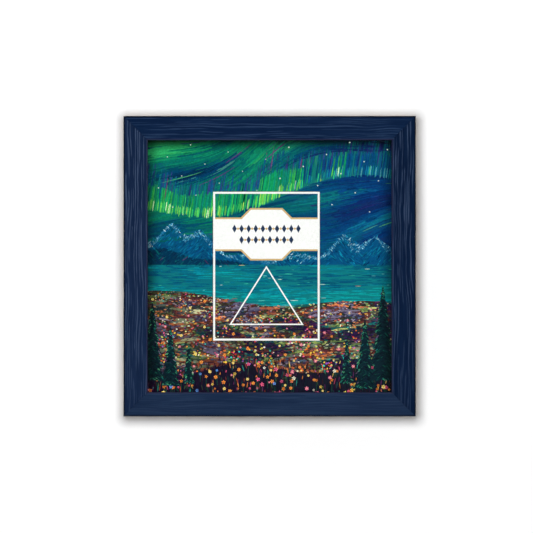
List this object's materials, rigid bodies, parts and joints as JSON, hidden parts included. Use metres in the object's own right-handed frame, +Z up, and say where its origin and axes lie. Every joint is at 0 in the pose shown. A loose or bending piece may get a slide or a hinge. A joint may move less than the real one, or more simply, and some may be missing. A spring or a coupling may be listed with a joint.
{
  "type": "trading card frame",
  "caption": "Shallow square wall frame with mitred wooden rails, clear glazing and a printed sheet round a window that holds one trading card.",
  "frame": {"origin": "middle of the underside, where the frame stands on its bottom rail", "axes": "X to the right and Z up as seen from the front, the front faces -Y and the wall is at +Y"},
  "size_m": [0.1724, 0.0222, 0.1772],
  "materials": {
    "backing_fibreboard": "brown fibreboard",
    "clear_sheet": "clear, polished",
    "ink_aurora": "matt ink, bright green",
    "ink_aurora_glow": "matt ink, dim teal",
    "ink_bank": "matt ink, near black",
    "ink_blooms_orange": "matt ink, orange",
    "ink_blooms_pink": "matt ink, pink",
    "ink_blooms_yellow": "matt ink, warm yellow",
    "ink_conifers": "matt ink, green black",
    "ink_far_ridge": "matt ink, hazy blue",
    "ink_lake": "matt ink, turquoise",
    "ink_meadow": "matt ink, warm brown",
    "ink_near_ridge": "matt ink, dark blue",
    "ink_sky": "matt ink, deep blue night sky",
    "ink_stars": "matt ink, pale",
    "mount_card": "grey board",
    "pad_card": "white board",
    "printed_paper": "white sheet, printed on its face",
    "soft_button": "matt",
    "spring_steel": "blued grey",
    "stained_wood": "navy stain, open grain, satin",
    "tan_ink": "matt tan ink",
    "white_ink": "matt white ink",
    "zinc_steel": "zinc plated"
  },
  "bodies": {
    "root": {"backing_board": "backing_fibreboard", "bottom_rail": "stained_wood", "bumper_left": "soft_button", "bumper_right": "soft_button", "card": "printed_paper", "card_aurora": "ink_aurora", "card_aurora_glow": "ink_aurora_glow", "card_blooms_orange": "ink_blooms_orange", "card_blooms_pink": "ink_blooms_pink", "card_blooms_yellow": "ink_blooms_yellow", "card_border": "white_ink", "card_far_ridge": "ink_far_ridge", "card_label": "white_ink", "card_label_edging": "tan_ink", "card_lake": "ink_lake", "card_meadow": "ink_meadow", "card_near_ridge": "ink_near_ridge", "card_pad": "pad_card", "card_sky": "ink_sky", "card_triangle": "white_ink", "corner_nail_bottom_left": "spring_steel", "corner_nail_bottom_right": "spring_steel", "corner_nail_top_left": "spring_steel", "corner_nail_top_right": "spring_steel", "glazing": "clear_sheet", "hanger_pin_1": "zinc_steel", "hanger_pin_2": "zinc_steel", "left_rail": "stained_wood", "mount_board": "mount_card", "print_aurora": "ink_aurora", "print_aurora_glow": "ink_aurora_glow", "print_bank": "ink_bank", "print_blooms_orange": "ink_blooms_orange", "print_blooms_pink": "ink_blooms_pink", "print_blooms_yellow": "ink_blooms_yellow", "print_conifers": "ink_conifers", "print_far_ridge": "ink_far_ridge", "print_lake": "ink_lake", "print_meadow": "ink_meadow", "print_near_ridge": "ink_near_ridge", "print_sky": "ink_sky", "print_stars": "ink_stars", "printed_sheet": "printed_paper", "right_rail": "stained_wood", "sawtooth_hanger": "zinc_steel", "spring_tab_bottom_1": "spring_steel", "spring_tab_bottom_2": "spring_steel", "spring_tab_left_1": "spring_steel", "spring_tab_left_2": "spring_steel", "spring_tab_right_1": "spring_steel", "spring_tab_right_2": "spring_steel", "spring_tab_top_1": "spring_steel", "spring_tab_top_2": "spring_steel", "top_rail": "stained_wood"}
  },
  "joints": []
}
